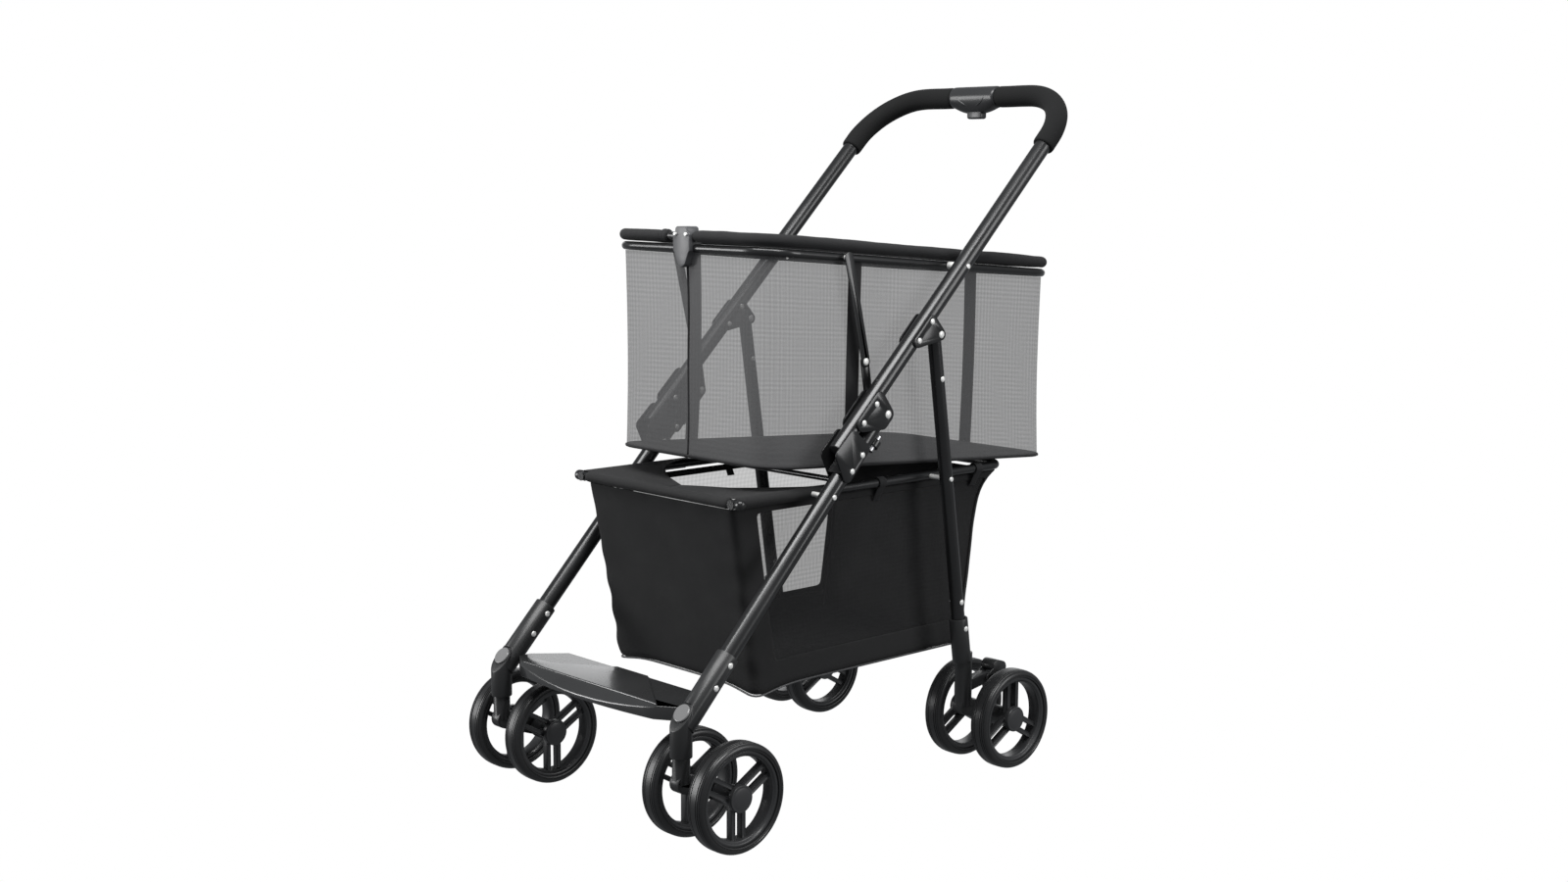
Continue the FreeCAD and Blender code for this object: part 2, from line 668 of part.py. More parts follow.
def single():
    """Each node that holds a middle piece, or like pieces on both sides."""
    rod_whole = brace_rod().fuse(mirrored(brace_rod())).removeSplitter()
    root_pins = lower_rivets() + [fold_pin(), rail_pin(), knee_pin()]
    handle_pins = handle_rivets() + [leg_pin(), rim_pin(), rim_spacer()]
    return {
        "stem_caps": both(stem_cap()),
        "front_tray": tray(),
        "hinge_saddles": both(saddle()),
        "knee_levers": both(lever()),
        "latch_guides": both(latch_guide()),
        "brace_rod": rod_whole,
        "frame_rivets": both(Part.makeCompound(root_pins)),
        "handle_tube": handle_tube(),
        "foam_grip": grip(),
        "trigger_housing": trigger_housing(),
        "fold_trigger": trigger(),
        "hinge_plates": both(Part.makeCompound(hinge_plates())),
        "leg_brackets": both(Part.makeCompound(leg_brackets())),
        "handle_rivets": both(Part.makeCompound(handle_pins)),
        "basket_rail": rail(),
        "front_bar": front_bar(),
        "bar_nuts": both(bar_nut()),
        "basket_loops": both(Part.makeCompound(bag_loops())),
        "lower_basket": lower_basket(),
        "upper_rim": rim_tube(pad_r, rim_step),
        "lower_rim": lower_rim(),
        "rim_bracket": rim_bracket(),
        "rim_pins": Part.makeCompound(rim_rivets() + [both(strut_top_pin())]),
        "upper_basket": upper_basket(),
    }


def wheels():
    found = {}
    for end, y in (("front", front_axle), ("rear", rear_axle)):
        for place, out in (("outer", 1), ("inner", -1)):
            x = frame_half + out * twin_half
            body, rubber = hub(x, y, out, spokes_from[end]), tyre(x, y)
            for side, turn in (("left", lambda s: s), ("right", mirrored)):
                found[f"wheel_{end}_{side}_{place}"] = turn(body)
                found[f"tyre_{end}_{side}_{place}"] = turn(rubber)
    return found


def main():
    os.makedirs("parts", exist_ok=True)
    nodes = single() | wheels()
    for name, shape in sided().items():
        nodes[f"{name}_left"] = shape
        nodes[f"{name}_right"] = mirrored(shape)
    for name, shape in nodes.items():
        shape.exportStep(os.path.join("parts", f"{name}.step"))
        print(name, len(shape.Solids), round(shape.Volume), shape.isValid())


main()
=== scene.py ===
import json
import math

import bpy
from mathutils import Matrix, Vector, noise


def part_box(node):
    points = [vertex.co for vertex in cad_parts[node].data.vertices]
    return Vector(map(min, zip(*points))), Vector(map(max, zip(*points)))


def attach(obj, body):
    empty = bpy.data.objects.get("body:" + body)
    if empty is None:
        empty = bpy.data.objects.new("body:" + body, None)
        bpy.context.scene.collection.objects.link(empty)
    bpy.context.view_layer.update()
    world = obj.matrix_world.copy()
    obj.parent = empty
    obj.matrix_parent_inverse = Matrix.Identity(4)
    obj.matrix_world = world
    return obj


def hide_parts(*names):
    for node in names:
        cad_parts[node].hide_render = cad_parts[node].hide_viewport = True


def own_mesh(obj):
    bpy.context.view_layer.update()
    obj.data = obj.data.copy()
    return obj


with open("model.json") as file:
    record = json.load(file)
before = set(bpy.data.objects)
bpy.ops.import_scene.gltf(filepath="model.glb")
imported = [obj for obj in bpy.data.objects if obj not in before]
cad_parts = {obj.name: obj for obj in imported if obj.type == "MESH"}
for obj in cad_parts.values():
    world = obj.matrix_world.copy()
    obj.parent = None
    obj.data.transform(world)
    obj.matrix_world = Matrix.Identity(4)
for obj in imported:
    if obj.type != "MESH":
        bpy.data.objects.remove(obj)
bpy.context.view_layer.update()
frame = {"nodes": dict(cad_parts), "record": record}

mm = 0.001
bpy.ops.object.select_all(action="DESELECT")

# ---------------------------------------------------------------- camera and light
# The stroller stands in an even white surround, under a strip light overhead, with a broad
# white card low behind it and weak fills. The camera stands at the front left.
turn, tilt, roll = math.radians(46.8228), math.radians(7.9119), math.radians(0.2954)
aim = (Matrix.Rotation(turn, 3, "Z") @ Matrix.Rotation(math.pi / 2 - tilt, 3, "X")
       @ Matrix.Rotation(roll, 3, "Z"))
bpy.ops.object.camera_add(location=(2.0502, -1.9464, 0.8825), rotation=aim.to_euler())
camera = bpy.context.object
camera.data.lens, camera.data.sensor_width = 43.77, 36
camera.data.clip_end = 200
bpy.context.scene.camera = camera


def finish(name, colour, roughness, **sockets):
    """A new material. Sockets are even values on the shader itself, with _ for a space."""
    material = bpy.data.materials.new(name)
    material.use_nodes = True
    shader = material.node_tree.nodes["Principled BSDF"]
    shader.inputs["Base Color"].default_value = (*colour, 1)
    shader.inputs["Roughness"].default_value = roughness
    for socket, value in sockets.items():
        shader.inputs[socket.replace("_", " ")].default_value = value
    return material


def node(material, kind, sockets, out=0, **settings):
    """Adds a node, fills or joins its sockets, and gives the output that is asked for."""
    tree = material.node_tree
    made = tree.nodes.new("ShaderNode" + kind)
    for setting, value in settings.items():
        setattr(made, setting, value)
    for socket, value in sockets.items():
        if isinstance(value, bpy.types.NodeSocket):
            tree.links.new(value, made.inputs[socket])
        else:
            made.inputs[socket].default_value = value
    return made.outputs[out]


def join(material, output, socket):
    shader = material.node_tree.nodes["Principled BSDF"]
    material.node_tree.links.new(output, shader.inputs[socket])


for place, aim_at, size, power in (((0.5, -0.9, 2.6), (0, 0, 0.4), (2.4, 0.8), 84),
                                   ((-2.6, 2.4, 1.0), (0, 0, 0.4), (4.0, 1.8), 20),
                                   ((3.2, 1.6, 1.5), (0, 0, 0.6), (1.4, 2.0), 48),
                                   ((-2.3, -2.5, 0.9), (0, 0, 0.3), (0.9, 1.6), 46)):
    way = Vector(place) - Vector(aim_at)
    bpy.ops.object.light_add(type="AREA", location=place,
                             rotation=way.to_track_quat("Z", "Y").to_euler())
    bpy.context.object.visible_camera = False
    lamp = bpy.context.object.data
    lamp.shape, lamp.size, lamp.size_y, lamp.energy = "RECTANGLE", *size, power

world = bpy.context.scene.world or bpy.data.worlds.new("studio")
bpy.context.scene.world = world
world.use_nodes = True
world.node_tree.nodes.clear()
seen = node(world, "Background", {"Color": (1, 1, 1, 1), "Strength": 1.0})
lit = node(world, "Background", {"Color": (0.93, 0.96, 1, 1), "Strength": 0.24})
straight = node(world, "LightPath", {})
mixed = node(world, "MixShader", {0: straight, 1: lit, 2: seen})
sky = world.node_tree.nodes.new("ShaderNodeOutputWorld")
world.node_tree.links.new(mixed, sky.inputs["Surface"])
bpy.context.scene.view_settings.view_transform = "Standard"

# ---------------------------------------------------------------- tubes and rods
# The frame is drawn steel tube under a satin black powder coat with a little metal flake.
# The tubes are the CAD pieces themselves and only take the paint.


def grain(material, scale, depth, spread, patch=7.0, where="Object"):
    """Fine relief in metres, with slow patches that are a little lighter, duller or glossier."""
    shader = material.node_tree.nodes["Principled BSDF"]
    base = shader.inputs["Base Color"].default_value[:3]
    dull = shader.inputs["Roughness"].default_value
    place = node(material, "TexCoord", {}, out=where)
    patches = node(material, "TexNoise", {"Vector": place, "Scale": patch, "Detail": 5.0})
    tone = node(material, "MapRange", {"Value": patches, "From Min": 0.3, "From Max": 0.7,
                                       "To Min": 1 - spread, "To Max": 1 + spread})
    colour = node(material, "VectorMath", {0: base, "Scale": tone}, operation="SCALE")
    join(material, colour, "Base Color")
    join(material, node(material, "MapRange", {"Value": patches, "From Min": 0.3, "From Max": 0.7,
                                               "To Min": dull * 0.85, "To Max": dull * 1.2}),
         "Roughness")
    fine = node(material, "TexNoise", {"Vector": place, "Scale": scale, "Detail": 3.0})
    join(material, node(material, "Bump", {"Height": fine, "Distance": depth, "Strength": 0.8}),
         "Normal")
    return place


def dress(names, material):
    """Gives CAD nodes a finish."""
    for name in names:
        mesh = frame["nodes"][name].data
        mesh.materials.clear()
        mesh.materials.append(material)


sides = ("left", "right")
powder_coat = finish("powder_coat", (0.018, 0.0183, 0.019), 0.27, Metallic=0.35, Coat_Weight=0.25,
                     Coat_Roughness=0.2)
grain(powder_coat, 420, 0.000012, 0.2)
dress(["handle_tube", "basket_rail", "front_bar", "lower_rim", "brace_rod"]
      + [f"{part}_{side}" for part in ("lower_tube", "rear_leg") for side in sides], powder_coat)

# ---------------------------------------------------------------- pressed plates
# Hinge plates, leg brackets, saddles, levers and struts are stamped from steel sheet, with
# their edges tumbled round before they are painted with the tubes.


def only(piece):
    bpy.ops.object.select_all(action="DESELECT")
    piece.select_set(True)
    bpy.context.view_layer.objects.active = piece


def edit(piece):
    """Opens a piece for editing with everything on it selected."""
    only(piece)
    bpy.ops.object.mode_set(mode="EDIT")
    bpy.ops.mesh.select_all(action="SELECT")


def modify(piece, kind, **settings):
    """Adds a modifier and applies it."""
    only(piece)
    modifier = piece.modifiers.new(kind.title(), kind)
    for setting, value in settings.items():
        setattr(modifier, setting, value)
    bpy.ops.object.modifier_apply(modifier=modifier.name)


def soften(piece, radius, steps=2, sharp=35):
    """Rounds a piece's sharp edges over and shades what is left smooth."""
    modify(piece, "BEVEL", width=radius, segments=steps, limit_method="ANGLE",
           angle_limit=math.radians(sharp), use_clamp_overlap=False)
    bpy.ops.object.shade_smooth_by_angle(angle=math.radians(sharp + 5))


def rounded_copy(cad_node, name, radius, material, steps=2):
    """A welded copy of a CAD node with its edges rounded over, which stands for the node."""
    piece = bpy.data.objects.new(name, frame["nodes"][cad_node].data.copy())
    bpy.context.collection.objects.link(piece)
    edit(piece)
    bpy.ops.mesh.remove_doubles(threshold=0.00001)
    bpy.ops.mesh.dissolve_limited(angle_limit=math.radians(1.5))
    bpy.ops.object.mode_set(mode="OBJECT")
    bpy.ops.mesh.customdata_custom_splitnormals_clear()
    soften(piece, radius, steps)
    piece.data.materials.clear()
    piece.data.materials.append(material)
    body = next(b for b, names in frame["record"]["behaviour"]["bodies"].items()
                if cad_node in names)
    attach(piece, body)
    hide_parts(cad_node)
    return piece


for cad_node in ("hinge_plates", "leg_brackets", "hinge_saddles", "knee_levers",
                 "basket_strut_left", "basket_strut_right"):
    rounded_copy(cad_node, cad_node + "_pressing", 0.6 * mm, powder_coat)

# ---------------------------------------------------------------- rivets, pins and axles
# Domed rivets of nickel-plated steel are set through the tubes and plates, and the axles and
# the latch bolts are turned from plain bright bar.
nickel = finish("nickel_plate", (0.9, 0.9, 0.88), 0.3, Metallic=0.3)
grain(nickel, 900, 0.00002, 0.06)
bright_bar = finish("bright_bar", (0.5, 0.5, 0.51), 0.32, Metallic=1.0)
grain(bright_bar, 700, 0.00003, 0.12)
for cad_node in ("frame_rivets", "handle_rivets", "rim_pins", "rear_leg_pins_left",
                 "rear_leg_pins_right"):
    rounded_copy(cad_node, cad_node + "_domed", 0.7 * mm, nickel, steps=3)
dress(["latch_left", "latch_right", "caster_axle_left", "caster_axle_right"], bright_bar)
dress(["latch_guides"], powder_coat)
rounded_copy("bar_nuts", "bar_nuts_domed", 0.8 * mm, powder_coat)

# ---------------------------------------------------------------- moulded feet, forks and pedals
# The four feet, the front forks and the brake pedals are glass-filled nylon mouldings with a
# fine spark finish. Slanted oval caps in lighter grey close the tops of the front feet.
nylon = finish("black_nylon", (0.020, 0.0204, 0.021), 0.38, Specular_IOR_Level=0.5)
grain(nylon, 1500, 0.000016, 0.15)
for side in sides:
    for part in ("stem_housing", "rear_housing", "caster_fork", "brake_pedal"):
        rounded_copy(f"{part}_{side}", f"{part}_{side}_moulding", 0.9 * mm, nylon)
pale_cap = finish("pale_cap", (0.20, 0.20, 0.20), 0.22, Coat_Weight=0.4)
grain(pale_cap, 1200, 0.00002, 0.08)
rounded_copy("stem_caps", "stem_caps_moulding", 0.6 * mm, pale_cap, steps=3)

# ---------------------------------------------------------------- foot tray
# One glossy moulding joins the two front feet. It has a bowed, sloped front face and a
# raised middle panel.
gloss = finish("gloss_nylon", (0.024, 0.0245, 0.025), 0.26, Coat_Weight=0.5, Coat_Roughness=0.12)
grain(gloss, 900, 0.000004, 0.1)
rounded_copy("front_tray", "front_tray_moulding", 1.3 * mm, gloss, steps=3)

# ---------------------------------------------------------------- wheels
# Each wheel is a nylon body with three pairs of spokes and a domed hub cap, and a soft tyre
# with fine grooves by its shoulders. One tyre and one body are made and then copied.
wheel_r, twin_half, frame_half = 75 * mm, 46 * mm, 203 * mm
axle_y = {"front": -339.5 * mm, "rear": 213.5 * mm}
shoulder = [(0, 75), (4.6, 75), (5.0, 74.0), (5.7, 74.0), (6.1, 74.95), (7.9, 74.8), (8.3, 73.8),
            (9.0, 73.8), (9.4, 74.6), (10.9, 74.2), (11.3, 73.2), (12.0, 73.0), (12.4, 73.6),
            (13.7, 72.8), (14.8, 71.4), (15.4, 69.6), (15.5, 67.9), (14.6, 67.3), (14.6, 66.5),
            (15.2, 65.9), (14.8, 64.3)]
tyre_section = shoulder + [(-x, r) for x, r in shoulder[:0:-1]]
lip = [(12.6, 64.2), (13.0, 63.6), (13.0, 60.4), (12.4, 59.6), (10.6, 58.8), (9.6, 57.0), (7.0, 56.1)]
ring_section = lip + [(-x, r) for x, r in lip[::-1]]
cap_section = [(-32.5, 0), (-32.5, 13.6), (-31.9, 14.4), (-6, 15), (3.4, 15), (4.0, 18.4), (4.6, 19.0),
               (10.6, 19.0), (12.0, 18.3), (12.4, 17.0), (12.0, 15.6), (12.3, 14.8), (13.0, 10),
               (13.4, 5), (13.5, 0)]


def turned(name, section, steps):
    """A closed section, as (x, radius) pairs in millimetres, turned once round the X axis."""
    bpy.ops.mesh.primitive_circle_add(vertices=len(section), radius=wheel_r)
    piece = bpy.context.object
    piece.name = name
    for vertex, (x, r) in zip(piece.data.vertices, section):
        vertex.co = (x * mm, 0, r * mm)
    edit(piece)
    bpy.ops.mesh.spin(steps=steps, angle=2 * math.pi, center=(0, 0, 0), axis=(1, 0, 0))
    bpy.ops.mesh.select_all(action="SELECT")
    bpy.ops.mesh.remove_doubles(threshold=0.00001)
    bpy.ops.mesh.delete_loose()
    bpy.ops.mesh.select_all(action="SELECT")
    bpy.ops.mesh.normals_make_consistent(inside=False)
    bpy.ops.object.mode_set(mode="OBJECT")
    bpy.ops.object.shade_smooth_by_angle(angle=math.radians(38))
    return piece


def spoke(turn_by, aside):
    """One bar of a pair: its outer face is dished, and both faces have rounded edges."""
    bpy.ops.mesh.primitive_cube_add(size=1, location=(0.5 * mm, aside, 33 * mm))
    bar = bpy.context.object
    bar.scale = (11 * mm, 6.6 * mm, 48 * mm)
    bpy.ops.object.transform_apply(location=True, rotation=False, scale=True)
    edit(bar)
    bpy.ops.mesh.select_all(action="DESELECT")
    bpy.ops.object.mode_set(mode="OBJECT")
    for face in bar.data.polygons:
        face.select = face.normal.x > 0.9
    bpy.ops.object.mode_set(mode="EDIT")
    bpy.ops.mesh.inset(thickness=1.5 * mm)
    bpy.ops.transform.translate(value=(-1.6 * mm, 0, 0))
    bpy.ops.object.mode_set(mode="OBJECT")
    soften(bar, 0.7 * mm)
    bar.rotation_euler.x = turn_by
    bpy.ops.object.transform_apply(location=True, rotation=True, scale=False)
    return bar


rubber = finish("tyre_rubber", (0.017, 0.0173, 0.018), 0.34)
grain(rubber, 800, 0.00002, 0.2)
wheel_nylon = finish("wheel_nylon", (0.030, 0.0305, 0.032), 0.36, Coat_Weight=0.15)
grain(wheel_nylon, 1300, 0.000015, 0.15)
tyre = turned("tyre_master", tyre_section, 96)
tyre.data.materials.append(rubber)
ring = turned("wheel_master", ring_section, 72)
parts = [turned("hub", cap_section, 48)]
parts += [spoke(math.radians(120 * k), aside * mm) for k in range(3) for aside in (-9, 9)]
only(ring)
for part in parts:
    part.select_set(True)
bpy.ops.object.join()
ring.data.materials.clear()
ring.data.materials.append(wheel_nylon)


def placed_copy(master, name, centre, outward):
    """A copy with its own mesh, moved into place and turned so that its cap faces outward."""
    piece = bpy.data.objects.new(name, master.data.copy())
    bpy.context.collection.objects.link(piece)
    facing = Matrix.Rotation(0 if outward > 0 else math.pi, 4, "Z")
    rolled = Matrix.Rotation(math.pi if centre[1] < 0 else 0, 4, "X")
    piece.data.transform(Matrix.Translation(centre) @ facing @ rolled)
    return piece


for end in ("front", "rear"):
    for side, away in (("left", 1), ("right", -1)):
        for twin, out in (("outer", away), ("inner", -away)):
            middle = (away * frame_half + out * twin_half, axle_y[end], wheel_r)
            for master, cad, slot in ((tyre, "tyre", "tread"), (ring, "wheel", "moulding")):
                words = "soft_tyre" if cad == "tyre" else "spoked_wheel"
                piece = placed_copy(master, f"{words}_{end}_{side}_{twin}", middle, out)
                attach(piece, f"{end}_{side}_{twin}_wheel")
                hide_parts(f"{cad}_{end}_{side}_{twin}")
bpy.data.objects.remove(tyre)
bpy.data.objects.remove(ring)

# ---------------------------------------------------------------- handle grip
# Two lengths of closed-cell foam tube are slid round the bends of the handle and stop against
# the trigger housing. Their ends are cut square and sit proud of the steel.
slope, fold_y, fold_z = math.radians(44.5), -27.5 * mm, 552.6 * mm
tube_gap, bar_at, bend_r = 27.5 * mm, 622.2 * mm, 95 * mm


def along(s, n=tube_gap):
    """y and z of a point s up the handle tube from the main hinge, n in front of it."""
    return (fold_y + s * math.cos(slope) - n * math.sin(slope),
            fold_z + s * math.sin(slope) + n * math.cos(slope))


def surface(name, rows, material, wrap=False):
    """Quads through rows of points, with UVs in metres. Wrap joins each row's two ends."""
    rows = [[Vector(p) for p in row] + ([Vector(row[0])] if wrap else []) for row in rows]
    down_n, across_n = len(rows), len(rows[0])
    bpy.ops.mesh.primitive_grid_add(x_subdivisions=across_n - 1, y_subdivisions=down_n - 1)
    piece = bpy.context.object
    piece.name = name
    flat = [p for row in rows for p in row]
    for vertex, point in zip(piece.data.vertices, flat):
        vertex.co = point
    mid = rows[down_n // 2]
    across = [0.0]
    for a, b in zip(mid, mid[1:]):
        across.append(across[-1] + (b - a).length)
    down = [0.0]
    for a, b in zip(rows, rows[1:]):
        down.append(down[-1] + sum((q - p).length for p, q in zip(a, b)) / across_n)
    for loop in piece.data.loops:
        i = loop.vertex_index
        piece.data.uv_layers[0].data[loop.index].uv = (across[i % across_n], down[i // across_n])
    edit(piece)
    bpy.ops.mesh.remove_doubles(threshold=0.00001)
    bpy.ops.object.mode_set(mode="OBJECT")
    bpy.ops.object.shade_smooth()
    piece.data.materials.append(material)
    return piece


def outward(piece):
    """Turns a closed piece's faces to point outwards."""
    edit(piece)
    bpy.ops.mesh.normals_make_consistent(inside=False)
    bpy.ops.object.mode_set(mode="OBJECT")
    return piece


def rings(path, radii, around=20):
    """Rows of points round a path, each ring at its own radius."""
    path = [Vector(p) for p in path]
    rows = []
    side = None
    for i, (point, r) in enumerate(zip(path, radii)):
        way = (path[min(i + 1, len(path) - 1)] - path[max(i - 1, 0)]).normalized()
        if side is None:
            side = way.orthogonal().normalized()
        side = (side - way * side.dot(way)).normalized()
        other = way.cross(side)
        rows.append([point + r * (math.cos(a) * side + math.sin(a) * other)
                     for a in (2 * math.pi * k / around for k in range(around))])
    return rows


def closed_tube(name, path, radii, material, around=20):
    """A tube along a path whose ends are closed with a flat cut and a rounded edge."""
    first, last = Vector(path[0]), Vector(path[-1])
    rows = rings(path, radii, around)
    start = [[first + (p - first) * k for p in rows[0]] for k in (0.0, 0.6)]
    stop = [[last + (p - last) * k for p in rows[-1]] for k in (0.6, 0.0)]
    return outward(surface(name, start + rows + stop, material, wrap=True))


def bend(a, b, steps):
    return [a + (b - a) * k / steps for k in range(steps + 1)]


foam = finish("closed_cell_foam", (0.009, 0.0092, 0.0094), 0.85, Sheen_Weight=0.02,
              Specular_IOR_Level=0.2)
pores = node(foam, "TexVoronoi", {"Vector": grain(foam, 600, 0.0002, 0.18), "Scale": 520.0})
join(foam, node(foam, "Bump", {"Height": pores, "Distance": 0.0004, "Strength": 0.6}), "Normal")
grip_start, grip_gap, grip_r = 508 * mm, 47 * mm, 17 * mm
for side, away in (("left", 1), ("right", -1)):
    path = [(away * frame_half, s) for s in bend(grip_start, bar_at - bend_r - mm, 6)]
    for a in bend(0, math.pi / 2, 22):
        path.append((away * (frame_half - bend_r * (1 - math.cos(a))),
                     bar_at - bend_r * (1 - math.sin(a))))
    path += [(away * x, bar_at) for x in bend(frame_half - bend_r - mm, grip_gap, 14)]
    points = [(x, *along(s)) for x, s in path]
    points[1] = tuple(Vector(points[0]).lerp(Vector(points[1]), 0.6))
    radii = [grip_r - 1.6 * mm, grip_r - 0.3 * mm] + [grip_r] * (len(points) - 3) + [grip_r - mm]
    grip = closed_tube(f"foam_sleeve_{side}", points, radii, foam, around=32)
    for vertex in grip.data.vertices:
        swell = noise.noise(vertex.co * 38) * 0.35 * mm
        vertex.co += vertex.normal * (swell - 0.2 * mm)
    modify(grip, "SUBSURF", levels=1, render_levels=1)
    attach(grip, "handle_frame")
    if side == "left":
        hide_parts("foam_grip")

# ---------------------------------------------------------------- tube end plugs
# The handle's two lower ends stop inside the saddles. Each is closed with a domed black plug,
# pushed into the tube up to its rim.
for side, away in (("left", 1), ("right", -1)):
    ends = [Vector((away * frame_half, *along(s * mm))) for s in (-91.5, -92.6, -93.4, -94.0)]
    plug = closed_tube(f"handle_tube_plug_{side}", ends, [k * mm for k in (12.5, 12.5, 11.6, 9.6)],
                       nylon, around=24)
    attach(plug, "handle_frame")

# ---------------------------------------------------------------- trigger housing
# Two moulded halves close round the middle of the handle and swell downwards round the fold
# trigger, with a raised crescent lip on the front.
bar_y, bar_z = along(bar_at)
housing_rows = []
shell_r = 17.4                           # millimetres, as are the next few sizes
for x in bend(-46.5, 46.5, 40):
    fade = max(0.0, 1 - (abs(x) / 42) ** 2.4)
    end_round = 1 - 0.10 * max(0.0, (abs(x) - 43) / 3.5) ** 2
    row = []
    for k in range(32):
        a = 2 * math.pi * k / 32
        y, z = shell_r * math.cos(a) * end_round, shell_r * math.sin(a) * end_round
        if z < 0:
            drop = (-z / shell_r) ** 1.2
            z -= 9.0 * fade * drop
            y *= 1 - 0.16 * fade * drop
        row.append((x * mm, bar_y + y * mm, bar_z + z * mm))
    housing_rows.append(row)
ends = [[tuple(Vector((row[0][0], bar_y, bar_z)).lerp(Vector(p), 0.74)) for p in row]
        for row in (housing_rows[0], housing_rows[-1])]
satin_nylon = finish("satin_nylon", (0.024, 0.0245, 0.026), 0.34, Coat_Weight=0.1)
grain(satin_nylon, 1400, 0.00001, 0.12)
housing = surface("trigger_housing_moulding", [ends[0]] + housing_rows + [ends[1]], satin_nylon,
                  wrap=True)
outward(housing)
modify(housing, "SUBSURF", levels=1, render_levels=1)
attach(housing, "handle_frame")
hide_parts("trigger_housing")
crescent = []
for a in bend(-1.0, 1.0, 30):
    drop = 3.5 - 17.5 * (1 - a * a) ** 0.75
    half = math.asin(max(-1.0, min(1.0, drop / shell_r)))
    crescent.append((30 * a * mm, bar_y - 17.0 * math.cos(half) * mm, bar_z + drop * mm))
widths = [(0.25 + 2.1 * (1 - abs(a) ** 2.2)) * mm for a in bend(-1.0, 1.0, 30)]
lip_piece = closed_tube("trigger_housing_lip", crescent, widths, satin_nylon, around=12)
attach(lip_piece, "handle_frame")
rounded_copy("fold_trigger", "fold_trigger_moulding", 1.0 * mm, satin_nylon, steps=3)

# ---------------------------------------------------------------- basket rim
# Two steel loops carry the mesh basket. The lower one is bare, and the upper one has a foam
# sleeve sewn into black cloth that stops in a cuff beside the front joint.
rim_half, rim_front, rim_rear, rim_corner = 171.5 * mm, -211 * mm, 391 * mm, 50 * mm
rim_step = 16.5 * mm
rim_pivot_y, rim_pivot_z = along(260 * mm)


def rim_height(y):
    """Height of the lower rim tube's middle at y."""
    return rim_pivot_z - 0.079 * (y - rim_pivot_y)


def basket_outline(shrink, steps):
    """Even points round the basket's plan, from the middle of the front, leftwards first."""
    half, front, rear = rim_half - shrink, rim_front + shrink, rim_rear - shrink
    r = rim_corner - shrink
    runs = [half - r, math.pi / 2 * r, rear - front - 2 * r, math.pi / 2 * r, 2 * (half - r),
            math.pi / 2 * r, rear - front - 2 * r, math.pi / 2 * r, half - r]
    total = sum(runs)
    found = []
    for k in range(steps):
        d = total * k / steps
        i = 0
        while d > runs[i]:
            d -= runs[i]
            i += 1
        a = d / r
        across, up = r * math.sin(a), r * (1 - math.cos(a))
        found.append([(d, front), (half - r + across, front + up), (half, front + r + d),
                      (half - up, rear - r + across), (half - r - d, rear),
                      (r - half - across, rear - up), (-half, rear - r - d),
                      (up - half, front + r - across), (r - half + d, front)][i])
    return found


def webbing(name, colour, pitch):
    """Woven black cloth: bump from crossing threads in the piece's own UVs, and slow fading."""
    material = finish(name, colour, 0.8, Sheen_Weight=0.04, Sheen_Roughness=0.5,
                      Specular_IOR_Level=0.3)
    grain(material, 90, 0.0003, 0.22, patch=16.0)
    place = node(material, "TexCoord", {}, out="UV")
    threads = [node(material, "TexWave", {"Vector": place, "Scale": 0.31416 / pitch},
                    bands_direction=way) for way in ("X", "Y")]
    crossed = node(material, "Math", {0: threads[0], 1: threads[1]}, operation="MULTIPLY")
    join(material, node(material, "Bump", {"Height": crossed, "Distance": 0.0003,
                                           "Strength": 0.7}), "Normal")
    return material


sleeve_cloth = webbing("rim_sleeve_cloth", (0.016, 0.016, 0.017), 0.9 * mm)
outline = basket_outline(0, 220)
inside = [(x, y) for x, y in outline if not (abs(y - rim_front) < mm and -46 * mm < x < 15 * mm)]
split = next(i for i, (x, y) in enumerate(inside) if x > 0 and abs(y - rim_front) < mm)
path = [(x, y, rim_height(y) + rim_step) for x, y in inside[split:] + inside[:split]]
radii = []
for i, p in enumerate(path):
    pucker = noise.noise(Vector(p) * 30) * 0.7 + noise.noise(Vector(p) * 95) * 0.35
    radii.append((8.5 + pucker) * mm)
radii[0], radii[-1] = 7.2 * mm, 7.2 * mm
sleeve = closed_tube("rim_sleeve", path, radii, sleeve_cloth, around=20)
for vertex in sleeve.data.vertices:
    vertex.co.z += noise.noise(vertex.co * 9) * 0.8 * mm
modify(sleeve, "SUBSURF", levels=1, render_levels=1)
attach(sleeve, "basket_rim")
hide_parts("upper_rim")
bare = [(x * mm, rim_front, rim_height(rim_front) + rim_step) for x in bend(-52, 20, 24)]
core = closed_tube("upper_rim_core", bare, [5.6 * mm] * 25, powder_coat, around=24)
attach(core, "basket_rim")
cuff = closed_tube("rim_sleeve_cuff", [(x * mm, rim_front, rim_height(rim_front) + rim_step)
                                       for x in bend(-50, -38, 8)],
                   [k * mm for k in (8.4, 9.3, 9.4, 9.2, 8.6, 8.9, 9.1, 8.6, 7.4)], sleeve_cloth,
                   around=20)
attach(cuff, "basket_rim")

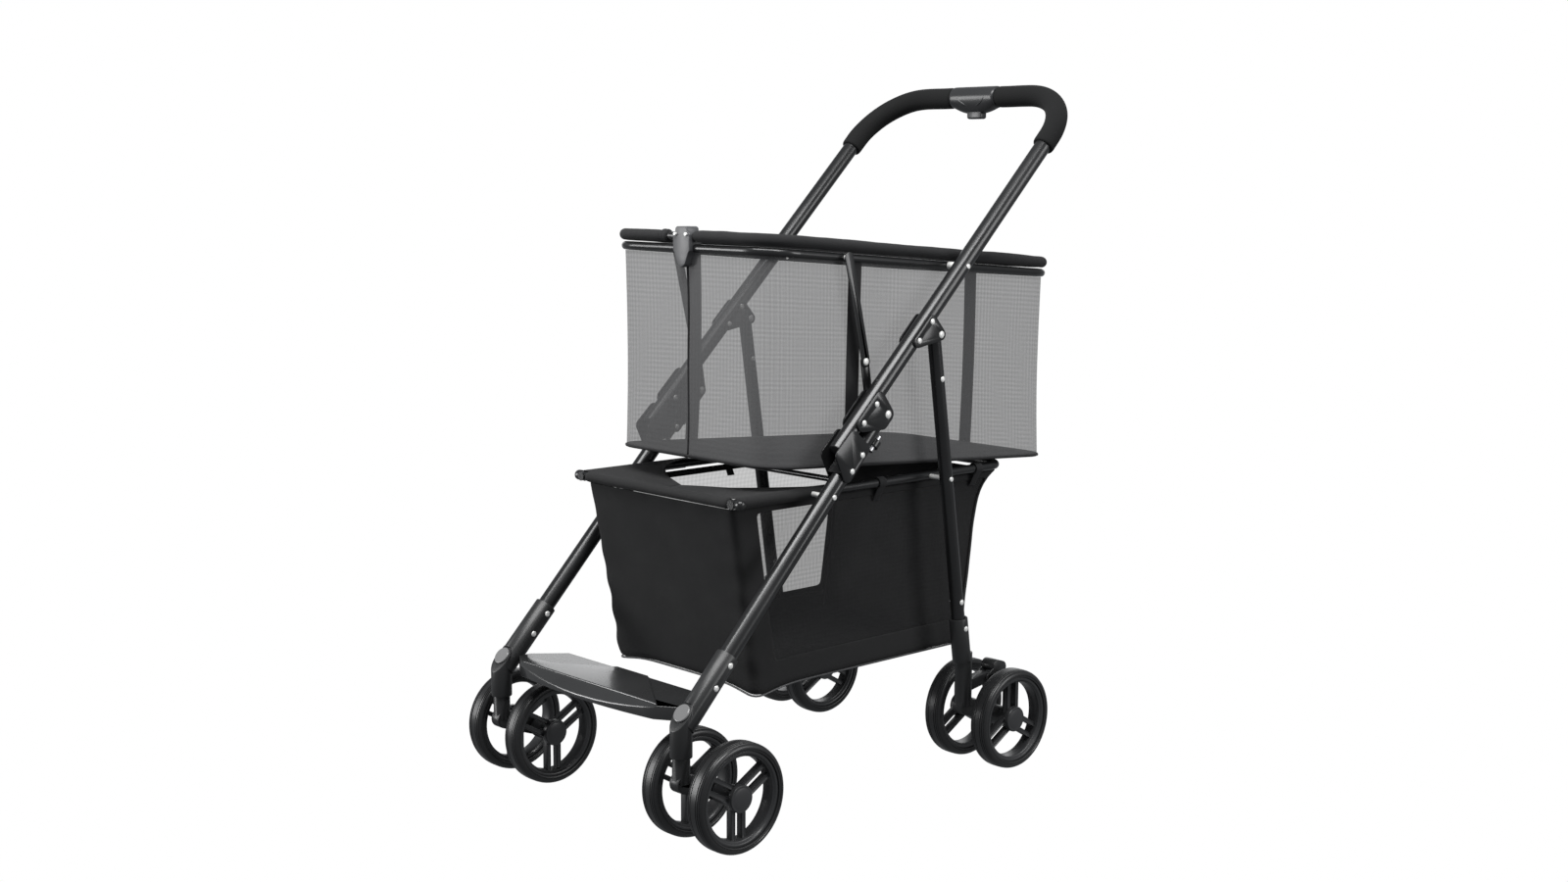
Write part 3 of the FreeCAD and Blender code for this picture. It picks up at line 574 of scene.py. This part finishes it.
# ---------------------------------------------------------------- rim joint
# A moulded shield clamps the two rim loops together in the middle of the front. It has a lug
# with a rivet on each side, a raised top, and a point that hangs below the lower loop.
shield = [(0, -27), (8, -22.5), (12, -13), (14.8, -6.5), (17.9, -3), (18, 19), (16, 22.4),
          (13.2, 23), (12.4, 28), (9.0, 30.2)]
shield += [(-x, z) for x, z in shield[:0:-1]]
joint_z = rim_height(rim_front)
bpy.ops.mesh.primitive_circle_add(vertices=len(shield), radius=0.01, fill_type="NGON")
bracket = bpy.context.object
bracket.name = "rim_joint_shield"
for vertex, (x, z) in zip(bracket.data.vertices, shield):
    vertex.co = (x * mm, rim_front - 9.5 * mm, joint_z + z * mm)
edit(bracket)
bpy.ops.mesh.extrude_region_move(TRANSFORM_OT_translate={"value": (0, 22 * mm, 0)})
bpy.ops.mesh.select_all(action="SELECT")
bpy.ops.mesh.normals_make_consistent(inside=False)
bpy.ops.object.mode_set(mode="OBJECT")
for face in bracket.data.polygons:
    face.select = face.normal.y < -0.9
bpy.ops.object.mode_set(mode="EDIT")
bpy.ops.mesh.select_mode(type="FACE")
bpy.ops.mesh.inset(thickness=1.6 * mm)
bpy.ops.transform.translate(value=(0, -1.4 * mm, 0))
bpy.ops.object.mode_set(mode="OBJECT")
soften(bracket, 0.9 * mm, 3, 25)
pewter = finish("pewter_nylon", (0.075, 0.076, 0.08), 0.36)
grain(pewter, 1400, 0.00004, 0.1)
bracket.data.materials.append(pewter)
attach(bracket, "basket_rim")
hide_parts("rim_bracket")

# ---------------------------------------------------------------- mesh basket
# The walls are one length of open polyester net sewn under the lower rim loop. A cloth floor
# with a corded edge closes the bottom, and webbing bands stiffen the sides and the back.


def net(name, colour, see_through, uneven_by):
    """Open net: fine threads in the UVs, gathered into slightly denser bands both ways."""
    material = finish(name, colour, 0.7)
    place = node(material, "TexCoord", {}, out="UV")
    threads, bands = [[node(material, "TexWave", {"Vector": place, "Scale": 0.31416 / pitch,
                                                  "Distortion": stray, "Detail": 1.0},
                            bands_direction=way) for way in ("X", "Y")]
                      for pitch, stray in ((1.6 * mm, 0.0), (7 * mm, 0.5))]
    thread = node(material, "Math", {0: threads[0], 1: threads[1]}, operation="MAXIMUM")
    uneven = node(material, "Math", {0: bands[0], 1: bands[1]}, operation="ADD")
    cover = node(material, "MapRange", {"Value": uneven, "From Max": 2.0,
                                        "To Min": 1 - uneven_by - see_through,
                                        "To Max": 1 + uneven_by - see_through})
    gap = node(material, "MapRange", {"Value": thread, "To Min": -0.1, "To Max": 0.05})
    join(material, node(material, "Math", {0: cover, 1: gap}, operation="ADD", use_clamp=True),
         "Alpha")
    join(material, node(material, "Bump", {"Height": thread, "Distance": 0.0003,
                                           "Strength": 0.5}), "Normal")
    return material


basket_net = net("basket_net", (0.12, 0.12, 0.122), 0.47, 0.06)
floor_cloth = webbing("floor_cloth", (0.014, 0.014, 0.0145), 1.1 * mm)
strap_cloth = webbing("strap_webbing", (0.014, 0.014, 0.015), 1.6 * mm)


def floor_height(y):
    return 474 * mm - 0.062 * y


def fold_flat(piece):
    """A basket piece moves with the rim, on a mesh of its own."""
    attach(piece, "basket_rim")
    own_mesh(piece)


around_n, tall_n = 200, 18
wall_rows = []
for k in range(tall_n + 1):
    t = k / tall_n
    bow = 2.5 * mm * math.sin(math.pi * t)
    row = []
    for x, y in basket_outline(bow + 0.5 * mm, around_n):
        high, low = rim_height(y) - 6.4 * mm, floor_height(y) + 1.0 * mm
        ripple = noise.noise(Vector((x * 14, y * 14, t * 1.5))) * 1.6 * mm * math.sin(math.pi * t)
        row.append((x + ripple * (1 if x > 0 else -1), y + 0.4 * ripple, high + (low - high) * t))
    wall_rows.append(row)
walls = surface("mesh_walls", wall_rows, basket_net, wrap=True)
outward(walls)
fold_flat(walls)
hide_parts("upper_basket")

floor_rows = []
for k in range(13):
    share = 1 - k / 12
    row = []
    for x, y in basket_outline(1.0 * mm, 120):
        x, y = x * share, 0.09 + (y - 0.09) * share
        ripple = noise.noise(Vector((x * 16, y * 16, 3))) * 1.8 * (1 - share ** 6)
        row.append((x, y, floor_height(y) + (2.2 - 2.0 * (1 - share ** 3) + ripple) * mm))
    floor_rows.append(row)
base = surface("basket_floor_cloth", floor_rows, floor_cloth, wrap=True)
modify(base, "SOLIDIFY", thickness=1.4 * mm, offset=0)
fold_flat(base)


def loop_of_cord(name, path, r, material):
    """A closed round of piping cord."""
    steps = len(path)
    path = [Vector(p) for p in path]
    rows = []
    for i, point in enumerate(path):
        way = (path[(i + 1) % steps] - path[i - 1]).normalized()
        flat = way.cross(Vector((0, 0, 1))).normalized()
        up = flat.cross(way)
        rows.append([point + r * (math.cos(a) * flat + math.sin(a) * up)
                     for a in (2 * math.pi * k / 8 for k in range(8))])
    return outward(surface(name, rows + rows[:1], material, wrap=True))


fold_flat(loop_of_cord("basket_floor_piping", [(x, y, floor_height(y) + 0.8 * mm)
                                               for x, y in basket_outline(0.3 * mm, 160)],
                       2.2 * mm, strap_cloth))


def band(name, place, width_way, width, steps=26, thick=1.2 * mm):
    """A flat webbing band down the basket wall, through points given by a share of its height."""
    rows = []
    for k in range(steps + 1):
        point = Vector(place(k / steps))
        rows.append([point + Vector(width_way) * width * j / 4 for j in range(-2, 3)])
    piece = surface(name, rows, strap_cloth)
    modify(piece, "SOLIDIFY", thickness=thick, offset=0)
    soften(piece, 0.4 * mm)
    fold_flat(piece)
    return piece


def side_band(away):
    def place(t):
        y = (-50 - 8 * t + 3 * math.sin(2.6 * t)) * mm
        high, low = rim_height(y) + 4 * mm, floor_height(y) + 1 * mm
        return (away * (rim_half + 1.2 * mm - 2.5 * mm * math.sin(math.pi * t)), y,
                high + (low - high) * t)
    return place


def rear_place(t):
    x = (4 * math.sin(3.2 * t) - 6 * t) * mm
    high, low = rim_height(rim_rear) - 5 * mm, floor_height(rim_rear) + 2 * mm
    return (x, rim_rear - 1.8 * mm - 2.5 * mm * math.sin(math.pi * t), high + (low - high) * t)


for side, away in (("left", 1), ("right", -1)):
    piece = band(f"side_band_{side}", side_band(away), (0, 1, 0), 25 * mm)
rear_band = band("rear_band", rear_place, (1, 0, 0), 24 * mm)
seam_path = [(0.001 * math.sin(9 * t), rim_front + 0.8 * mm + 2.5 * mm * math.sin(math.pi * t),
              rim_height(rim_front) - 20 * mm + (floor_height(rim_front) - rim_height(rim_front)
                                                 + 21 * mm) * t) for t in bend(0, 1, 30)]
seam = closed_tube("front_seam_piping", seam_path, [1.7 * mm] * 31, strap_cloth, around=8)
fold_flat(seam)

# ---------------------------------------------------------------- cloth basket
# A sewn bag of coated polyester hangs below on the U rail and the front bar. Its back flares
# up to the rail, its corners pucker and its bottom sags. Both side walls are mostly net.
bag_top_z, bag_foot_z = 437 * mm, 177 * mm
bag_cloth = webbing("bag_cloth", (0.014, 0.014, 0.0145), 0.8 * mm)
bag_net = net("bag_side_net", (0.022, 0.022, 0.023), 0.54, 0.05)


def bag_front(t):
    return (-267 + 48 * t) * mm


def bag_rear(t):
    return (214 + 32 * (1 - t) + 34 * math.exp(-t / 0.07)) * mm


def bag_half_ring(t):
    """The left half of the bag's outline a share t of the way down, front middle to rear middle."""
    half = (158 - 3 * t - 2.0 * math.sin(math.pi * t)) * mm
    front, rear, r = bag_front(t), bag_rear(t), (9 + 5 * t) * mm
    points = [(x, front) for x in bend(0, half - r, 10)]
    points += [(half - r * (1 - math.sin(a)), front + r * (1 - math.cos(a)))
               for a in bend(0, math.pi / 2, 4)[1:]]
    for start, stop, steps in ((front + r, front + wrap, 5), (front + wrap, rear - r, 30)):
        points += [(half, y) for y in bend(start, stop, steps)[1:]]
    points += [(half - r * (1 - math.cos(a)), rear - r * (1 - math.sin(a)))
               for a in bend(0, math.pi / 2, 4)[1:]]
    return points + [(x, rear) for x in bend(half - r, 0, 10)[1:]]


wrap, hem_z, band_z = 44 * mm, 427 * mm, 216 * mm
heights = bend(bag_top_z, hem_z, 2) + bend(hem_z, band_z, 22)[1:] + bend(band_z, bag_foot_z, 4)[1:]
shares = [(bag_top_z - z) / (bag_top_z - bag_foot_z) for z in heights]
bag_rows = []
for t in shares:
    half_ring = bag_half_ring(t)
    row = []
    for x, y in half_ring + [(-x, y) for x, y in half_ring[-2:0:-1]]:
        p = Vector((x, y, bag_top_z + (bag_foot_z - bag_top_z) * t))
        calm = math.sin(math.pi * min(1, 0.08 + t * 0.92)) ** 0.6
        crumple = (noise.noise(p * 11 + Vector((5, 0, 0))) * 2.4 + noise.noise(p * 27) * 0.8) * calm
        to_corner = math.hypot(abs(x) - 0.155, y - bag_front(t))
        crumple += math.sin(p.z * 140 + 9 * x) * 2.4 * t * math.exp(-(to_corner / 0.02) ** 2)
        p += Vector((x, y, 0)).normalized() * crumple * mm
        p.z -= 9 * mm * t ** 3 * math.exp(-(to_corner / 0.045) ** 2)
        row.append(p)
    bag_rows.append(row)
foot, middle = bag_rows[-1], Vector((0, 0, bag_foot_z))
for k in bend(0, 1, 9)[1:]:
    sag = -9 * mm * math.sin(math.pi * min(1, k * 1.15) * 0.5) * (1 - 0.5 * k)
    row = [p.lerp(middle, k) for p in foot]
    bag_rows.append([q + Vector((0, 0, sag + noise.noise(q * 20) * 2.2 * mm * (k < 1))) for q in row])
bag = outward(surface("bag_shell", bag_rows, bag_cloth, wrap=True))


def pick_net_faces(over):
    """Selects the faces of both side openings, and a strip of this width round them."""
    edit(bag)
    bpy.ops.mesh.select_mode(type="FACE")
    bpy.ops.mesh.select_all(action="DESELECT")
    bpy.ops.object.mode_set(mode="OBJECT")
    for face in bag.data.polygons:
        c = face.center
        t = (bag_top_z - c.z) / (bag_top_z - bag_foot_z)
        face.select = (abs(c.x) > 0.14 and band_z - over < c.z < hem_z + over
                       and bag_front(t) + wrap - over < c.y < bag_rear(t) - (9 + 5 * t) * mm + over)
    bpy.ops.object.mode_set(mode="EDIT")


pick_net_faces(9 * mm)
bpy.ops.mesh.duplicate()
bpy.ops.mesh.separate(type="SELECTED")
bpy.ops.object.mode_set(mode="OBJECT")
nets = next(o for o in bpy.context.selected_objects if o != bag)
pick_net_faces(0)
bpy.ops.mesh.delete(type="FACE")
bpy.ops.object.mode_set(mode="OBJECT")
nets.data.materials.clear()
nets.data.materials.append(bag_net)
only(nets)
bpy.ops.mesh.separate(type="LOOSE")
net_panels = list(bpy.context.selected_objects)


def hang(piece):
    """A bag piece moves with the rail, on a mesh of its own."""
    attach(piece, "rail_frame")
    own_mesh(piece)


modify(bag, "SOLIDIFY", thickness=1.1 * mm, offset=-1)
modify(bag, "SUBSURF", levels=1, render_levels=1)
hang(bag)
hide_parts("lower_basket")
for panel in net_panels:
    away = 1 if panel.data.vertices[0].co.x > 0 else -1
    panel.name = "bag_net_left" if away > 0 else "bag_net_right"
    for vertex in panel.data.vertices:
        vertex.co.x -= away * 1.4 * mm
    hang(panel)
piping = finish("satin_piping", (0.05, 0.05, 0.052), 0.4, Coat_Weight=0.2)
grain(piping, 500, 0.0001, 0.15)
corner_column = 10 + 4 + 5 + 30 + 2
rows_down = len(shares)
for side, column in (("left", corner_column), ("right", len(foot) - corner_column)):
    path = [row[column] for row in bag_rows[1:rows_down]]
    hang(closed_tube(f"bag_corner_piping_{side}", path, [1.3 * mm] * len(path), piping,
                     around=8))
hang(loop_of_cord("bag_foot_piping", foot, 1.5 * mm, piping))

# ---------------------------------------------------------------- bag collar, sleeve and loops
# The bag's front hem is sewn into a sleeve round the front bar. A collar of the same cloth
# runs back over each rail, and short webbing loops hang the sides.
rail_half, rail_r, front_bar_y = 165 * mm, 6.5 * mm, -268 * mm
rail_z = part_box("front_bar")[0].z + 6 * mm
hem_r = rail_r + 1.4 * mm
sleeve_path = [(x * mm, front_bar_y, rail_z - 0.4 * mm) for x in bend(-156, 156, 50)]
radii = [(7.6 + 0.35 * noise.noise(Vector(p) * 40)) * mm for p in sleeve_path]
radii[0] = radii[-1] = 7.0 * mm
bar_sleeve = closed_tube("front_bar_sleeve", sleeve_path, radii, bag_cloth)
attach(bar_sleeve, "rail_frame")
collar_rows = []
for k in range(31):
    y = (-268 + 195 * k / 30) * mm
    open_by = max(0.0, min(1.0, (y / mm + 222) / 147))
    inner = 158 * mm * (1 - (1 - open_by) ** 2.2) if y > -222 * mm else 0.0
    over_rail = [(rail_half + hem_r * math.cos(a), rail_z + hem_r * math.sin(a))
                 for a in bend(math.radians(-75), math.radians(88), 12)]
    x0, top_z = over_rail[-1]
    cross = []
    for s in bend(0, 1, 14)[1:]:
        x = x0 + (inner - x0) * s
        reach = 1 - x / x0
        cross.append((x, top_z - 7 * mm * math.sin(reach * math.pi / 2) ** 0.8
                      + noise.noise(Vector((x * 22, y * 22, 1))) * 1.3 * mm * s))
    collar_rows.append([(x, y, z) for x, z in over_rail + cross])
for side, away in (("left", 1), ("right", -1)):
    rows = [[(away * x, y, z) for x, y, z in row] for row in collar_rows]
    collar = surface(f"bag_collar_{side}", rows, bag_cloth)
    if away < 0:
        edit(collar)
        bpy.ops.mesh.flip_normals()
        bpy.ops.object.mode_set(mode="OBJECT")
    modify(collar, "SOLIDIFY", thickness=1.0 * mm, offset=0)
    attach(collar, "rail_frame")

loop_places = [(y, away) for y in (5 * mm, 215 * mm) for away in (1, -1)]
for number, (y, away) in enumerate(loop_places, 1):
    line = [(away * (rail_half + hem_r * math.cos(a)), rail_z + hem_r * math.sin(a))
            for a in bend(math.radians(215), math.radians(-35), 18)]
    tail = [(away * (168.5 - 2.2 * k) * mm, rail_z - (5.5 + 4.4 * k) * mm) for k in range(1, 6)]
    rows = [[(x, y + 14 * mm * j / 3, z) for j in range(4)] for x, z in line + tail]
    loop = surface(f"hanging_loop_{number}", rows, strap_cloth)
    modify(loop, "SOLIDIFY", thickness=1.2 * mm, offset=0)
    soften(loop, 0.4 * mm)
    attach(loop, "rail_frame")
    if number == 1:
        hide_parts("basket_loops")
